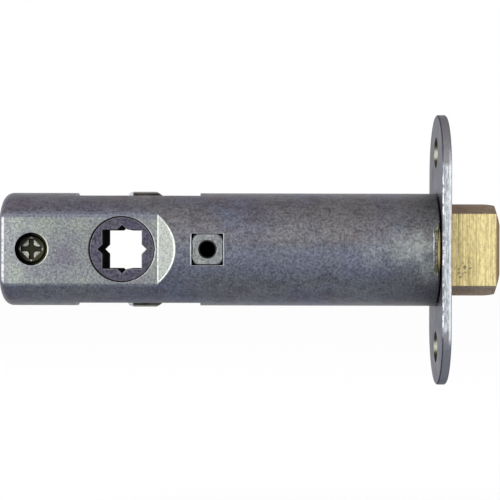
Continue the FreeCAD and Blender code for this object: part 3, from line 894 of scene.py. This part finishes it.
# The clamping screw, turned about Y: u runs from the head's middle over its dome, down its side, along the shank
# to the end's middle, and v turns once. The head is pushed in by the deeper of a cross and a shallow flare.
def makeScrew():
    head, soft, lip, start = screw["head"], screw["soft"], screw["lip"], screw["rimStart"]
    headR = np.linspace(0.01, 1.0, screw["headRows"]) * head
    headY = screw["top"] + screw["dome"] * (headR / head) ** 2
    headY = headY + screw["rim"] * np.clip((headR / head - start) / (1 - start), 0, 1) ** 2
    alongY = np.linspace(screw["seat"], screw["end"] - 0.4 * mm, screw["shankRows"])
    threaded = np.cos(2 * math.pi * (alongY - screw["seat"]) / screw["pitch"])
    alongR = screw["shank"] - screw["thread"] * (0.5 + 0.5 * threaded)
    tailR = np.array([head, head, screw["shank"]])
    tailY = np.array([headY[-1] + 0.3 * mm, screw["seat"], screw["seat"]])
    endR = np.array([screw["shank"] - 0.35 * mm, 0.02 * mm])
    endY = np.array([screw["end"], screw["end"]])
    radius = np.concatenate([headR, tailR, alongR, endR])[:, None]
    height = np.concatenate([headY, tailY, alongY, endY])[:, None]
    v = fullTurn(screw["sides"])[None, :]
    x = radius * np.cos(v)
    z = radius * np.sin(v)
    near = np.minimum(np.abs(x), np.abs(z))
    far = np.maximum(np.abs(x), np.abs(z))
    onHead = (np.arange(len(radius)) < len(headR))[:, None]
    cross = np.clip((screw["arm"] - near) / soft + 0.5, 0, 1) * np.clip((screw["span"] - far) / soft + 0.5, 0, 1)
    core = np.clip((screw["core"] - near - far) / (0.4 * mm), 0, 1)
    walls = np.maximum(cross, core)
    flare = np.clip(screw["flare"] - near - far, 0, None) * screw["slope"]
    tapered = 1 - screw["taper"] * far / screw["span"]
    pushed = np.maximum(walls * screw["deep"] * tapered, flare) * onHead
    piece = closedTube("clampScrew", np.stack([screw["x"] + x, height + pushed + 0 * x, z], axis=-1))
    flanks = np.clip(flare / (0.1 * mm), 0, 1) * (1 - np.clip(walls * 1.8, 0, 1)) * onHead
    lips = np.clip(1 - np.abs(far - screw["span"] - lip) / lip, 0, 1)
    lips = lips * np.clip((screw["arm"] + lip - near) / soft, 0, 1) * onHead
    facing = np.where(x * z > 0, 1.0, 0.5)   # two of the four pads catch the light
    # Painted highlights on two pads and on the lips of the cross, and painted shade down the cross's walls
    mark(piece, "padHighlight", np.maximum(0.85 * flanks * facing, 0.5 * lips))
    mark(piece, "recessShade", walls * (1.0 - 0.6 * np.clip((near + far) / (1.2 * mm) - 1, 0, 1)) * onHead)
    finishPiece(piece, makeScrewSteel())
    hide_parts("case_screw")


makeScrew()

burrLook = {"color": rgb(0.62, 0.64, 0.67), "dark": rgb(0.42, 0.43, 0.47), "edge": rgb(0.8, 0.8, 0.8),
            "rough": (0.30, 0.44), "dirtAndShade": 0.2, "rounding": 0.03}
burrMetal = makePlainMetal("burrZinc", burrLook)
window = {
    "x": -51.7 * mm, "half": 3.4 * mm, "width": 0.16 * mm, "height": 0.07 * mm, "rows": 480, "sides": 10,
    "lean": (0.02, 0.03, 0.0, 0.12),       # mm, on the lower, right, upper and left side
    "sideWidth": (0.36, 1.0, 0.42, 0.95),
}


# The burr round the post's window: u follows the square on the barrel, v goes round a flat bead that leans out
def makeWindowBurr():
    u = np.linspace(0, 1, window["rows"], endpoint=False)
    ones = np.ones_like(u)
    corner = (u * 4) % 1 * 2 - 1
    side = np.floor(u * 4).astype(int)
    x = np.choose(side, [corner, ones, -corner, -ones]) * window["half"]
    z = np.choose(side, [-ones, corner, ones, -corner]) * window["half"]
    outX = np.choose(side, [0, 1, 0, -1])
    outZ = np.choose(side, [-1, 0, 1, 0])
    lean = np.choose(side, window["lean"]) * mm + 0.03 * mm * wander(u, 3, 40)
    width = window["width"] * (0.8 + 0.3 * wander(u, 5, 60)) * np.choose(side, window["sideWidth"])
    height = window["height"] * (0.85 + 0.5 * wander(u, 8, 60))
    middleX = window["x"] + x + lean * outX
    middleZ = z + lean * outZ
    v = fullTurn(window["sides"])[None, :]
    across = np.cos(v) * width[:, None]
    px = middleX[:, None] + across * outX[:, None]
    pz = middleZ[:, None] + across * outZ[:, None]
    py = -np.sqrt(barrel["radius"] ** 2 - pz ** 2) - np.sin(v) * height[:, None]
    finishPiece(closedRing("windowBurr", np.stack([px, py, pz], axis=-1)), burrMetal)


makeWindowBurr()

thread = {"x": -51.7 * mm, "mouth": -12.08 * mm, "end": -2.0 * mm, "pitch": 0.7 * mm,
          "root": 1.97 * mm, "crest": 1.66 * mm, "out": 2.03 * mm, "rows": 48, "along": 230}
# Painted shade: the thread in the bore is coloured near-black
threadShadeLook = {"color": rgb(0.055, 0.055, 0.058), "dark": rgb(0.03, 0.03, 0.031), "edge": rgb(0.1, 0.1, 0.1),
              "rough": (0.39, 0.53), "dirtAndShade": 0.9, "rounding": 0.05}


# The post's thread: v turns about Y, u goes along the bore over ridges that climb one pitch a turn,
# then back in the wall
def makePostThread():
    y = np.linspace(thread["mouth"], thread["end"], thread["along"])
    v = fullTurn(thread["rows"])[:, None]
    turn = (y[None, :] - thread["mouth"]) / thread["pitch"] - v / (2 * math.pi)
    ridge = np.abs((turn % 1) * 2 - 1)
    inner = thread["root"] - (thread["root"] - thread["crest"]) * np.clip(ridge * 1.25 - 0.1, 0, 1)
    back = np.full((len(v), 2), thread["out"])
    radius = np.concatenate([inner, back], axis=1)
    along = np.concatenate([y, [thread["end"], thread["mouth"]]])[None, :] + 0 * radius
    grid = np.stack([thread["x"] + radius * np.cos(v), along, radius * np.sin(v)], axis=-1)
    finishPiece(closedRing("postThread", grid), makePlainMetal("threadZincShaded", threadShadeLook))


makePostThread()

torn = {
    "top": 5.7 * mm, "bottom": -6.0 * mm, "skin": 0.55 * mm, "rows": 200, "across": 22, "beadSides": 10,
    "outer": np.array([1.1, 1.35, 1.28, 1.4, 1.3, 1.38, 1.15]) * mm,   # depths of the skin's edge down the tear
    "inner": np.array([0.08, 0.2, 0.4, 0.58, 0.45, 0.26, 0.1]) * mm,   # depths of the bite
    "lift": 0.16 * mm, "roughness": 0.15 * mm, "rise": 0.12 * mm,
    "runOut": 0.45 * mm, "runOutShare": 0.16, "least": 0.02 * mm, "most": 0.53 * mm,
    "beadWidth": 0.15 * mm, "beadHeight": 0.10 * mm,
}
tornLook = {
    "olive": rgb(0.15, 0.158, 0.085),
    "crystal": rgb(0.50, 0.53, 0.42),
    "warm": rgb(0.33, 0.29, 0.28),
    "hollow": rgb(0.03, 0.03, 0.02),
    "inside": rgb(0.018, 0.018, 0.014),
    "skinDark": rgb(0.15, 0.15, 0.165),
    "skinPale": rgb(0.20, 0.205, 0.20),
    "skin": (1.2, 0.16), "rough": (0.45, 0.7), "bump": (0.5, 0.05 * mm),
}


# Torn metal: dark olive hollows, pale crystals, a black line of painted shade by the bite, and the casting's own
# grey where the tear runs out
def makeTornFace():
    material, shader, place = newMaterial("tornZinc", Metallic=0.7)
    skin = skinOn(place, *tornLook["skin"])
    across = attribute(shader, "across")
    warm = times(step(absolute(split(place)[2]), 3.0 * mm, 1.5 * mm, 0.0, 0.7), step(across, 0.6, 0.35))
    skinColor = blend(skin["Tint"], tornLook["skinDark"], tornLook["skinPale"])
    # Painted shade: a black line along the bite's side of the face
    color = layered(tornLook["olive"],
                    (skin["Blotch"], tornLook["crystal"]),
                    (warm, tornLook["warm"]),
                    (skin["Mottle"], tornLook["hollow"]),
                    (step(across, 0.78, 0.92, 0.0, 0.9), tornLook["inside"]),
                    (attribute(shader, "skinned"), skinColor))
    surface(shader, tornLook, color, ranged(skin["Grain"], *tornLook["rough"]), skin["Grain"])
    return material


# The torn lip's rough face fills the step between the skin's edge and the bite. Down the tear u runs from its top
# to its bottom corner, s goes across from the skin's edge, and the lift over the floor is wandering noise.
def makeTornLip(u, z, left, right):
    floor = barrel["radius"] - torn["skin"]
    s = np.linspace(0, 1, torn["across"])
    x = left[:, None] + (right - left)[:, None] * s[None, :]
    rough = 0.5 * wander(u * 0.9, 11, 30)[:, None] + 0.5 * wander(s * 0.8, 12, 6)[None, :]
    rough = rough + 0.5 * wander(u * 0.7, 13, 60)[:, None] * wander(s * 0.9, 14, 9)[None, :]
    lift = torn["lift"] + torn["roughness"] * rough + torn["rise"] * (1 - s[None, :])
    fromEnd = np.minimum(u, 1 - u) / torn["runOutShare"]
    runOut = np.clip(1 - fromEnd + 0.25 * wander(u, 15, 24), 0, 1)[:, None] * (1 - 0.35 * s[None, :])
    top = floor + np.clip(lift + runOut * torn["runOut"], torn["least"], torn["most"])
    under = np.full((len(u), 2), floor - 0.2 * mm)
    radius = np.concatenate([top, under], axis=1)
    allX = np.concatenate([x, right[:, None] - 0.02 * mm, left[:, None]], axis=1)
    grid = np.stack([allX, -np.sqrt(radius ** 2 - z[:, None] ** 2), z[:, None] + 0 * radius], axis=-1)
    piece = closedTube("tornFace", grid)
    mark(piece, "skinned", np.concatenate([np.clip(runOut * 1.6 - 0.3, 0, 1), np.zeros((len(u), 2))], axis=1))
    mark(piece, "across", np.broadcast_to(np.concatenate([s, [1.0, 0.0]]), allX.shape), 0.5)
    finishPiece(piece, makeTornFace())


# A bright bead of dragged metal along the skin's edge: u runs down the tear and v goes round the flat bead
def makeTornRidge(u, z, left):
    v = fullTurn(torn["beadSides"])[None, :]
    strength = np.clip((u - 0.06) * 8, 0.12, 1) * np.clip((0.86 - u) * 5, 0.12, 1)
    width = torn["beadWidth"] * (0.75 + 0.45 * wander(u, 21, 50)) * strength
    height = torn["beadHeight"] * (0.7 + 0.5 * wander(u, 22, 50)) * strength
    bead = (left - 0.05 * mm + 0.04 * mm * wander(u, 23, 35))[:, None] + np.cos(v) * width[:, None]
    rise = -np.sqrt(barrel["radius"] ** 2 - z ** 2)[:, None] - np.sin(v) * height[:, None]
    grid = np.stack([bead, rise, z[:, None] + 0 * bead], axis=-1)
    finishPiece(closedTube("tornRidge", grid), burrMetal)


def makeTear():
    u = np.linspace(0, 1, torn["rows"])
    knots = np.linspace(0, 1, len(torn["outer"]))
    z = torn["top"] + (torn["bottom"] - torn["top"]) * u
    left = barrel["front"] - np.interp(u, knots, torn["outer"])
    right = barrel["front"] - np.interp(u, knots, torn["inner"]) - 0.03 * mm
    makeTornLip(u, z, left, right)
    makeTornRidge(u, z, left)


makeTear()
print("small pieces made")


studio = {
    "floor": -62 * mm,
    "floorSize": 3.0,
    "floorColor": rgb(0.9, 0.9, 0.9),
    "white": rgb(1, 1, 1),
    "shadowShare": 0.25,   # how much of the floor's colour comes from the light that falls on it
    "cardHalf": 0.5,
    # name, middle, half depth, colour
    "cards": (("cardAbove", (-0.04, -0.02, 0.16), 0.16, rgb(0.56, 0.527, 0.542)),
              ("cardBelow", (-0.04, -0.02, -0.055), 0.06, rgb(0.49, 0.525, 0.595))),
    "lampSize": 0.5,
    # name, place, target, radiance
    "lamps": (("softboxLeft", (-0.55, -0.14, 0.03), (-0.06, 0, 0), 2.3),
              ("keyAbove", (-0.25, -0.55, 0.65), (-0.04, 0, 0), 1.8)),
}


# A flat level rectangle of the stage, given its middle and its two half sides
def card(name, middle, halfX, halfY):
    x, y, z = middle
    corners = [(x - halfX, y - halfY, z), (x + halfX, y - halfY, z),
               (x + halfX, y + halfY, z), (x - halfX, y + halfY, z)]
    piece = newPiece(name, corners, [(0, 1, 2, 3)])
    return piece


def emptyMaterial(name, piece):
    material = bpy.data.materials.new(name)
    material.use_nodes = True
    material.node_tree.nodes.clear()
    piece.data.materials.append(material)
    return material.node_tree


# 1 for rays from the camera, from reflections and through clear things
def seenRay(tree):
    path = put(tree, "LightPath").outputs
    return largest(path["Is Camera Ray"], path["Is Glossy Ray"], path["Is Transmission Ray"])


def makeStage():
    floor = card("floor", (0, 0, studio["floor"]), studio["floorSize"], studio["floorSize"])
    tree = emptyMaterial("paleFloor", floor)
    white = put(tree, "Emission", {"Color": studio["white"], "Strength": 1.0}).outputs[0]
    matte = put(tree, "BsdfDiffuse", {"Color": studio["floorColor"]}).outputs[0]
    share = times(seenRay(tree), 1 - studio["shadowShare"])
    mixed = put(tree, "MixShader", {0: share, 1: matte, 2: white}).outputs[0]
    put(tree, "OutputMaterial", {"Surface": mixed})

    world = bpy.data.worlds.new("studio")
    bpy.context.scene.world = world
    world.use_nodes = True
    world.node_tree.nodes["Background"].inputs["Color"].default_value = studio["white"]


# Grey cards above and below the object, out of the frame, which only its reflections see
def makeCard(name, middle, halfDepth, color):
    piece = card(name, middle, studio["cardHalf"], halfDepth)
    tree = emptyMaterial(name, piece)
    glow = put(tree, "Emission", {"Color": color, "Strength": 1.0}).outputs[0]
    put(tree, "OutputMaterial", {"Surface": glow})
    for ray in ("camera", "diffuse", "transmission", "volume_scatter", "shadow"):
        setattr(piece, "visible_" + ray, False)


# A square lamp that faces its target, with an energy that gives the radiance
def makeLamp(name, place, target, radiance):
    lamp = bpy.data.lights.new(name, "AREA")
    lamp.shape = "SQUARE"
    lamp.size = studio["lampSize"]
    lamp.energy = radiance * math.pi * studio["lampSize"] ** 2
    piece = bpy.data.objects.new(name, lamp)
    bpy.context.scene.collection.objects.link(piece)
    away = np.array(place) - np.array(target)
    flat = math.hypot(away[0], away[1])
    piece.location = place
    piece.rotation_euler = (math.atan2(flat, away[2]), 0, math.atan2(away[0], -away[1]))


makeStage()
for cardValues in studio["cards"]:
    makeCard(*cardValues)
for lampValues in studio["lamps"]:
    makeLamp(*lampValues)
print("stage lit")


view = {
    "place": (-42.7 * mm, -345 * mm, -0.12 * mm),
    "lens": 113.3,
    "roll": -0.0022,
    "sensor": 36.0,
    "clipStart": 0.01,
}
lens = bpy.data.cameras.new("camera")
lens.lens = view["lens"]
lens.sensor_width = view["sensor"]
lens.clip_start = view["clipStart"]
camera = bpy.data.objects.new("camera", lens)
camera.location = view["place"]
camera.rotation_euler = (math.pi / 2, view["roll"], 0)
bpy.context.scene.collection.objects.link(camera)
bpy.context.scene.camera = camera
bpy.context.scene.view_settings.view_transform = "Standard"
print("camera set")
